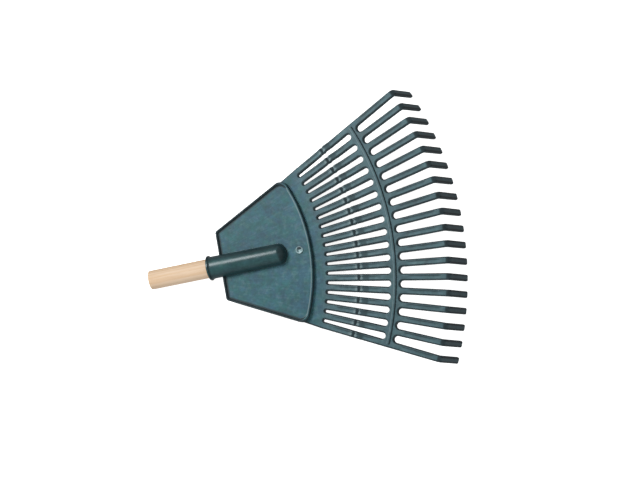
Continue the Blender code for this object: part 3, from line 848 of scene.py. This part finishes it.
def hubOutline(inset, frontInset):
    start, along = hubSide()
    inward = Vector((along.y, -along.x))
    start = start + inward * inset
    centre = Vector((hub["front"] - hub["frontArc"], 0))
    radius = hub["frontArc"] - frontInset
    # The front corner's centre lies one corner radius inside both the side and the front arc
    base = start + inward * hub["corner"] - centre
    middle = base.dot(along)
    run = -middle + math.sqrt(middle**2 - base.length_squared + (radius - hub["corner"]) ** 2)
    pivot = centre + base + along * run
    frontAngle = math.atan2(pivot.y - centre.y, pivot.x - centre.x)
    sideAngle = math.atan2(-inward.y, -inward.x)
    half = arc(centre, radius, 0, frontAngle, hub["arcSteps"])
    half += arc(pivot, hub["corner"], frontAngle, sideAngle, hub["cornerSteps"])[1:]
    small = hub["backCorner"]
    slide = (hub["back"] + inset + small - start.x - inward.x * small) / along.x
    heel = start + inward * small + along * slide
    half += arc(heel, small, sideAngle, math.pi, hub["cornerSteps"] // 2)
    return half + [Vector((point.x, -point.y)) for point in half[:0:-1]]


def rimProfile():  # inset and height: up the outer wall, over the round rim and down to the face
    half, soft, steps = hub["rimWidth"] / 2, hub["rimFillet"], hub["rimSteps"]
    face, top = hub["step"], hub["step"] + hub["rimHeight"]
    points = [(0.0, face - hub["depth"])]
    for turn in (2 * part for part in quarter(2 * steps)):
        points.append((half - half * math.cos(turn), top - half * (1 - math.sin(turn))))
    for turn in quarter(steps):
        points.append((2 * half + soft * (1 - math.cos(turn)), face + soft * (1 - math.sin(turn))))
    return points


def hubPlate():
    return loft([[(*point, height) for point in hubOutline(inset, inset)] for inset, height in rimProfile()])


def hubRib(place):
    start, along = hubSide()
    width = start.y + (place - start.x) * along.y / along.x - hub["wall"] / 2
    half = hub["ribThickness"] / 2
    outline = [(place - half, -width), (place + half, -width), (place + half, width), (place - half, width)]
    return plate(outline, hub["step"] - hub["depth"] + hub["wall"] / 2, hub["step"] - hub["wall"] / 2)


def noseProfile(steps):
    radius, end = socketRadius - socket["taper"], socket["mouth"] + socket["length"]
    points = []
    for turn in quarter(steps)[:-1]:
        points.append((end - socket["nose"] * (1 - math.sin(turn)), radius * math.cos(turn)))
    return points + [(end, 0.0)]


def socketTube():
    mouth = socket["mouth"]
    lip = socketRadius + socket["lipFlare"]
    edge = socket["lipEdge"]
    profile = [(mouth, 0)]
    edgeSteps, filletSteps = socket["lipSteps"]
    for turn in quarter(edgeSteps):
        profile.append((mouth + edge * (1 - math.cos(turn)), lip - edge * (1 - math.sin(turn))))
    for turn in quarter(filletSteps):
        along = mouth + socket["lipLength"] + socket["lipFillet"] * (1 - math.cos(turn))
        profile.append((along, lip - socket["lipFlare"] * math.sin(turn)))
    return turned(profile + noseProfile(socket["noseSteps"]), socket["sides"], socketHeight)


def socketBore():
    mouth, bore, chamfer = socket["mouth"], socket["bore"], socket["mouthChamfer"]
    profile = [
        (mouth - chamfer * 2, 0),
        (mouth - chamfer * 2, bore + chamfer),
        (mouth, bore + chamfer),
        (mouth + chamfer, bore),
        (mouth + socket["depth"], bore),
        (mouth + socket["depth"], 0),
    ]
    return turned(profile, socket["sides"], socketHeight)


def footFillet():  # a small inside radius where the tube stands on the plate
    nose = noseProfile(socket["footNoseSteps"])
    slope = socket["taper"] / (nose[0][0] - socket["mouth"])
    first = hub["back"] + hub["rimWidth"] + hub["rimFillet"]
    side = []
    for i in range(socket["footRuns"]):
        along = first + (nose[0][0] - first) * i / socket["footRuns"]
        side.append((along, socketRadius - slope * (along - socket["mouth"])))
    side += [point for point in nose if point[1] > socket["rise"]]
    edge = [Vector((along, math.sqrt(radius**2 - socket["rise"] ** 2))) for along, radius in side]
    path = edge + [Vector((point.x, -point.y)) for point in reversed(edge)]
    soft, sink, bite = socket["footFillet"], socket["footSink"], socket["footBite"]
    section = [(-sink, -sink), (soft, -sink)]
    for turn in quarter(socket["footSteps"]):
        section.append((soft * (1 - math.sin(turn)), soft * (1 - math.cos(turn))))
    section.append((-sink, soft))
    rings = []
    for i, point in enumerate(path):
        way = (path[min(i + 1, len(path) - 1)] - path[max(i - 1, 0)]).normalized()
        outward = Vector((-way.y, way.x))
        ring = [(*(point + outward * (out - bite)), hub["step"] + rise - bite) for out, rise in section]
        rings.append(ring)
    return loft(rings)


def gateMark():  # a low round button with a dimple, left where the mould was filled
    high, wide, (inner, outer) = gate["height"], gate["radius"], gate["rim"]
    profile = [(-high, 0), (-high, wide), (gate["wall"], wide)]
    for turn in quarter(gate["rimSteps"])[1:]:
        profile.append((high * math.sin(turn), outer + (wide - outer) * math.cos(turn)))
    profile += [(high, inner), (gate["floor"], inner * gate["floorShare"]), (gate["floor"], 0)]
    bm = turned(profile, gate["sides"])
    bm.transform(Matrix.Translation((gate["place"], 0, hub["step"])) @ upright)
    return bm


def screwPath(length, radius):
    bm = turned([(0, 0), (0, radius), (length, radius), (length, 0)], screw["sides"])
    bm.transform(upright)
    return bm


def sliced(bm):  # cuts across the plate and the strip where they will bend
    for i in range(fold["steps"] + 1):
        cut = (fold["front"] - fold["length"] * i / fold["steps"], 0, 0)
        every = bm.verts[:] + bm.edges[:] + bm.faces[:]
        bmesh.ops.bisect_plane(bm, geom=every, dist=merge, plane_co=cut, plane_no=(1, 0, 0))
    bmesh.ops.dissolve_degenerate(bm, edges=bm.edges[:], dist=merge)
    return bm


def folded(point):  # the hub lies flat at first, and is then turned up behind the strip
    into = fold["front"] - point.x
    if into <= 0:
        return point
    turn = fold["angle"] * min(into / fold["length"], 1.0)
    radius = fold["length"] / fold["angle"]
    past = max(into - fold["length"], 0.0)
    back = radius * math.sin(turn) + past * math.cos(turn)
    rise = radius * (1 - math.cos(turn)) + past * math.sin(turn)
    along = fold["front"] - back + point.z * math.sin(turn)
    return Vector((along, point.y, rise + point.z * math.cos(turn)))


mostSides = 12      # of a hole that joining leaves and that is filled again


def rakeHead():
    low, high = hub["step"] - hub["depth"], hub["step"]
    flat = newPiece("flat_head", sliced(hubPlate()), headPlastic)
    hollow = plate(hubOutline(hub["wall"], hub["border"]), low - hub["depth"], high - hub["wall"])
    hole = screwPath(socketRadius, screw["radius"] + screw["gap"])
    under = socketHeight - socketRadius - socket["wall"]
    hole.transform(Matrix.Translation((socket["mouth"] + screw["place"], 0, under)))
    steps = [("hollow", hollow, headPlastic, "DIFFERENCE")]
    steps += [(f"rib_{place}", hubRib(place), headPlastic, "UNION") for place in hub["ribPlaces"]]
    steps += [
        ("fan", sliced(slottedFan()), headPlastic, "UNION"),
        ("band_rib", bandRibMesh(), headPlastic, "UNION"),
        ("tube", socketTube(), socketPlastic, "UNION"),
        ("fillet", footFillet(), socketPlastic, "UNION"),
        ("bore", socketBore(), socketPlastic, "DIFFERENCE"),
        ("gate", gateMark(), gatePlastic, "UNION"),
        ("screw_hole", hole, socketPlastic, "DIFFERENCE"),
    ]
    tools = []
    for name, bm, finish, operation in steps:
        tools.append(newPiece(name, bm, finish))
        combine(flat, tools[-1], operation)
    mesh = evaluated(flat, tools + [flat])
    bm = bmesh.new()
    bm.from_mesh(mesh)
    bmesh.ops.remove_doubles(bm, verts=bm.verts[:], dist=2 * merge)
    bmesh.ops.dissolve_degenerate(bm, edges=bm.edges[:], dist=2 * merge)
    bmesh.ops.holes_fill(bm, edges=[edge for edge in bm.edges if edge.is_boundary], sides=mostSides)
    for vert in bm.verts:
        vert.co = headPlace @ folded(vert.co)
    made = newPiece("rake_head_moulding", bm)
    for finish in mesh.materials:
        made.data.materials.append(finish)
    shade(made)
    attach(made, "head")
    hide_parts("rake_head")


# The hub's own direction ahead, and its back edge along it
hubAhead = headPlace.to_3x3() @ Vector((math.cos(fold["angle"]), 0, -math.sin(fold["angle"])))
hubBack = (headPlace @ folded(Vector((hub["back"], 0, hub["step"])))).dot(hubAhead)
headPlastic = mouldedPlastic("moulded_plastic", moulded)
socketPlastic = mouldedPlastic("socket_plastic", socketLook)
gatePlastic = mouldedPlastic("gate_plastic", gateLook)
handleWood = bareWood("bare_wood")
screwSteel = zincSteel("zinc_steel")
print("finishes made")

rakeHead()
print("head moulding made")


# Free tines

tip = {
    "bend": 0.4540,
    "bendRadius": 0.0079,
    "bendAngle": math.radians(85),
    "drop": 0.0663,
    "width": 0.0100,
    "thickness": 0.0045,
    "endRound": 0.0020,
    "endSteps": 3,
    "springLength": 0.034,  # the stretch that springs
    "rootPitch": 0.002,
    "bendSteps": 14,
    "cuts": (0.35, 0.7),    # shares of the straight length below the bend
}


def tineSection(width, thick, dish):  # from the middle of the top, round to it
    half, scale = width / 2, thick / fan["thickness"]
    top, low = fan["topRound"] * scale, fan["lowRound"] * scale
    right = []
    for turn in quarter(fan["roundSteps"]):
        right.append((half - top * (1 - math.sin(turn)), top * (1 - math.cos(turn))))
    for turn in quarter(fan["lowSteps"]):
        right.append((half - low * (1 - math.cos(turn)), thick - low * (1 - math.sin(turn))))
    return [(0.0, dish)] + right + [(-aside, down) for aside, down in reversed(right)]


def tinePath(length):  # the upper face from the hinge: along, height, slope, end inset and dish
    corner = length - tip["bendRadius"] * math.tan(tip["bendAngle"] / 2)
    stations = []
    plain = between(-fan["rootGap"], tip["springLength"], tip["rootPitch"])
    plain += between(tip["springLength"], corner, fan["dishPitch"] / 2)
    for along in plain:
        stations.append((along, 0.0, 0.0, 0.0, dishDepth(along, corner)))
    for i in range(tip["bendSteps"] + 1):
        turn = tip["bendAngle"] * i / tip["bendSteps"]
        along = corner + tip["bendRadius"] * math.sin(turn)
        stations.append((along, -tip["bendRadius"] * (1 - math.cos(turn)), turn, 0.0, 0.0))
    along, height, turn = stations[-1][:3]
    length = (tip["drop"] + height) / math.sin(turn)
    soft = tip["endRound"]
    straight = [(length * share, 0.0) for share in tip["cuts"]]
    for ease in quarter(tip["endSteps"]):
        straight.append((length - soft * (1 - math.sin(ease)), soft * (1 - math.cos(ease))))
    for run, inset in straight:
        stations.append((along + run * math.cos(turn), height - run * math.sin(turn), turn, inset, 0.0))
    return stations


def freeTine(number):
    name = hinges[number]["child"]
    angle = tineAngles[number]
    stations = tinePath(arcReach(tip["bend"], angle) - hingeReach[number])
    travel = [0.0]
    for one, following in zip(stations, stations[1:]):
        travel.append(travel[-1] + math.dist(one[:2], following[:2]))
    rings = []
    for run, (along, height, turn, inset, dish) in zip(travel, stations):
        share = run / travel[-1]
        width = fan["tineWidth"] + (tip["width"] - fan["tineWidth"]) * share - 2 * inset
        thick = fan["thickness"] + (tip["thickness"] - fan["thickness"]) * share - 2 * inset
        ring = []
        for aside, down in tineSection(width, thick, dish):
            sink = down + inset
            ring.append((along - sink * math.sin(turn), aside, height - sink * math.cos(turn)))
        rings.append(ring)
    bm = loft(rings)
    root = fanPoint(angle, hingeReach[number])
    bm.transform(headPlace @ Matrix.Translation((*root, 0)) @ Matrix.Rotation(angle, 4, "Z"))
    made = newPiece(name + "_blade", bm, headPlastic)
    shade(made)
    spring = hingeSpots[number] + tineWays[number] * tip["springLength"]
    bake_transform(made)
    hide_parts(name)


for number in range(len(hinges)):
    freeTine(number)
print(len(hinges), "tines made")


# Handle and screw, in the socket's frame

pole = {
    "radius": 0.0144,
    "reach": 0.094,         # outside the socket
    "trim": 0.00012,        # the crisp end stays inside the chamfered one's length
    "endSoft": 0.0005,
    "endSteps": 4,
    "sides": 112,
    "rings": 24,
}
handleEnd = next(mount for mount in frame["record"]["mounts"] if mount["name"] == "handle_end")
poleWay = -Vector(handleEnd["axis"]).normalized()
mouthPlace = Matrix.Translation(Vector(handleEnd["pos_m"]) + poleWay * pole["reach"])
mouthPlace = mouthPlace @ Matrix((poleWay, across, poleWay.cross(across))).transposed().to_4x4()


def handle():
    radius, soft = pole["radius"], pole["endSoft"]
    back, front = pole["trim"] - pole["reach"], socket["depth"] - screw["gap"]
    profile = [(back, 0)]
    for turn in quarter(pole["endSteps"]):
        profile.append((back + soft * (1 - math.cos(turn)), radius - soft * (1 - math.sin(turn))))
    for i in range(1, pole["rings"]):
        profile.append((back + soft + (front - back - 2 * soft) * i / pole["rings"], radius))
    profile += [(front - soft, radius), (front, radius - soft), (front, 0)]
    made = newPiece("handle_pole", turned(profile, pole["sides"]), handleWood)
    hole = screwPath(radius + screw["grip"] + screw["gap"], screw["radius"] + screw["gap"])
    hole.transform(Matrix.Translation((screw["place"], 0, -2 * radius)))
    pilot = newPiece("pilot", hole, handleWood)
    combine(made, pilot, "DIFFERENCE")
    made.data = evaluated(made, [pilot])
    made.modifiers.clear()
    shade(made)
    made.matrix_world = mouthPlace
    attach(made, "head")
    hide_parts("handle")


def fixingScrew():
    shank, head = screw["radius"], screw["headRadius"]
    seat = -socketRadius - screw["gap"]
    point = -pole["radius"] + screw["grip"]
    profile = [(seat - screw["headHeight"], 0)]
    for turn in quarter(screw["headSteps"])[1:]:
        profile.append((seat - screw["headHeight"] * math.cos(turn), head * math.sin(turn)))
    profile += [(seat, shank), (point - screw["point"], shank), (point, 0)]
    made = newPiece("socket_screw", turned(profile, screw["sides"]), screwSteel)
    made.data.transform(upright)
    # The cross recess
    wide, long, crown = screw["recessWidth"] / 2, screw["recessReach"], seat - screw["headHeight"]
    outline = [(-wide, -long), (wide, -long), (wide, long), (-wide, long)]
    slots = []
    for turn in (0, math.pi / 2):
        bm = plate(outline, crown - screw["headHeight"], crown + screw["recessDepth"])
        bm.transform(Matrix.Rotation(turn, 4, "Z"))
        slots.append(newPiece("recess", bm, screwSteel))
        combine(made, slots[-1], "DIFFERENCE")
    made.data = evaluated(made, slots)
    made.modifiers.clear()
    shade(made)
    made.matrix_world = mouthPlace @ Matrix.Translation((screw["place"], 0, 0))
    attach(made, "head")
    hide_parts("fixing_screw")


handle()
fixingScrew()
print("handle and screw made")


# Floor, light and camera

stage = {
    "floorRadius": 6.0,
    "floorSides": 64,
    "sweep": 3.0,           # radius of the rise from the floor to the backdrop
    "sweepSteps": 12,
    "floor": (0.90, 0.90, 0.89, 1.0),
    "floorGrey": (0.80, 0.80, 0.80, 1.0),
    "greyNoise": (3.0, 2.0),
    "greyShare": 0.02,
    "floorRough": 0.9,
    "glow": 0.95,
    "sky": (0.95, 0.97, 1.0, 1.0),
    "skyStrength": 0.40,
    "key": {"place": (-0.30, 0.40, 0.866), "size": 0.38, "power": 7.2},     # places are turned as the head is
    "fill": {"place": (-0.40, -3.6, 1.5), "size": 4.0, "power": 80.0},
    "lampColor": (0.93, 0.97, 1.0),
}

shot = {  # in the head's frame
    "target": (0.246468, -0.004238, 0.0),
    "turn": math.radians(-18.54660),
    "tilt": math.radians(22.35491),     # from straight above
    "roll": math.radians(7.50076),
    "distance": 3.710611,
    "lens": 142.857,
    "sensor": 36.0,
    "farClip": 50,
}


def floor():  # a round floor that sweeps up into a backdrop; it throws no light back on the rake
    profile = [(0, 0), (0, stage["floorRadius"])]
    for turn in quarter(stage["sweepSteps"])[1:]:
        rise = stage["sweep"] * (1 - math.cos(turn))
        profile.append((rise, stage["floorRadius"] + stage["sweep"] * math.sin(turn)))
    bm = turned(profile, stage["floorSides"])
    bm.transform(Matrix.Translation((0, 0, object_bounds()[0].z)) @ upright)
    made, shader, wire = newFinish("pale_floor")
    grey = wire.add("ShaderNodeTexCoord", out="Object").noise(*stage["greyNoise"]) * stage["greyShare"]
    color = grey.tint(stage["floor"], stage["floorGrey"])
    feed(shader, {"Base Color": color, "Roughness": stage["floorRough"], "Specular IOR Level": 0.0})
    feed(shader, {"Emission Color": stage["floor"], "Emission Strength": stage["glow"]})
    ground = newPiece("floor", bm, made)
    ground.visible_diffuse = ground.visible_glossy = False
    ground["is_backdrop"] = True


def studio():
    world = bpy.data.worlds.new("studio")
    scene.world = world
    world.use_nodes = True
    sky = {"Color": stage["sky"], "Strength": stage["skyStrength"]}
    feed(world.node_tree.nodes["Background"], sky)
    for name in ("key", "fill"):
        lamp = bpy.data.lights.new(name, "AREA")
        lamp.shape = "DISK"
        lamp.size = stage[name]["size"]
        lamp.energy = stage[name]["power"]
        lamp.color = stage["lampColor"]
        made = bpy.data.objects.new(name, lamp)
        scene.collection.objects.link(made)
        made.location = headPlace.to_3x3() @ Vector(stage[name]["place"])
        made.rotation_euler = made.location.to_track_quat("Z", "Y").to_euler()
        made.visible_glossy = name == "key"     # the tube shows one streak only


def camera():
    lens = bpy.data.cameras.new("camera")
    lens.lens = shot["lens"]
    lens.sensor_width = shot["sensor"]
    lens.clip_end = shot["farClip"]
    made = bpy.data.objects.new("camera", lens)
    scene.collection.objects.link(made)
    place = headPlace @ Matrix.Translation(shot["target"])
    for way, axis in (("turn", "Z"), ("tilt", "Y"), ("roll", "Z")):
        place = place @ Matrix.Rotation(shot[way], 4, axis)
    made.matrix_world = place @ Matrix.Translation((0, 0, shot["distance"]))
    scene.camera = made


floor()
studio()
camera()
scene.view_settings.view_transform = "Standard"
print("floor, light and camera made")
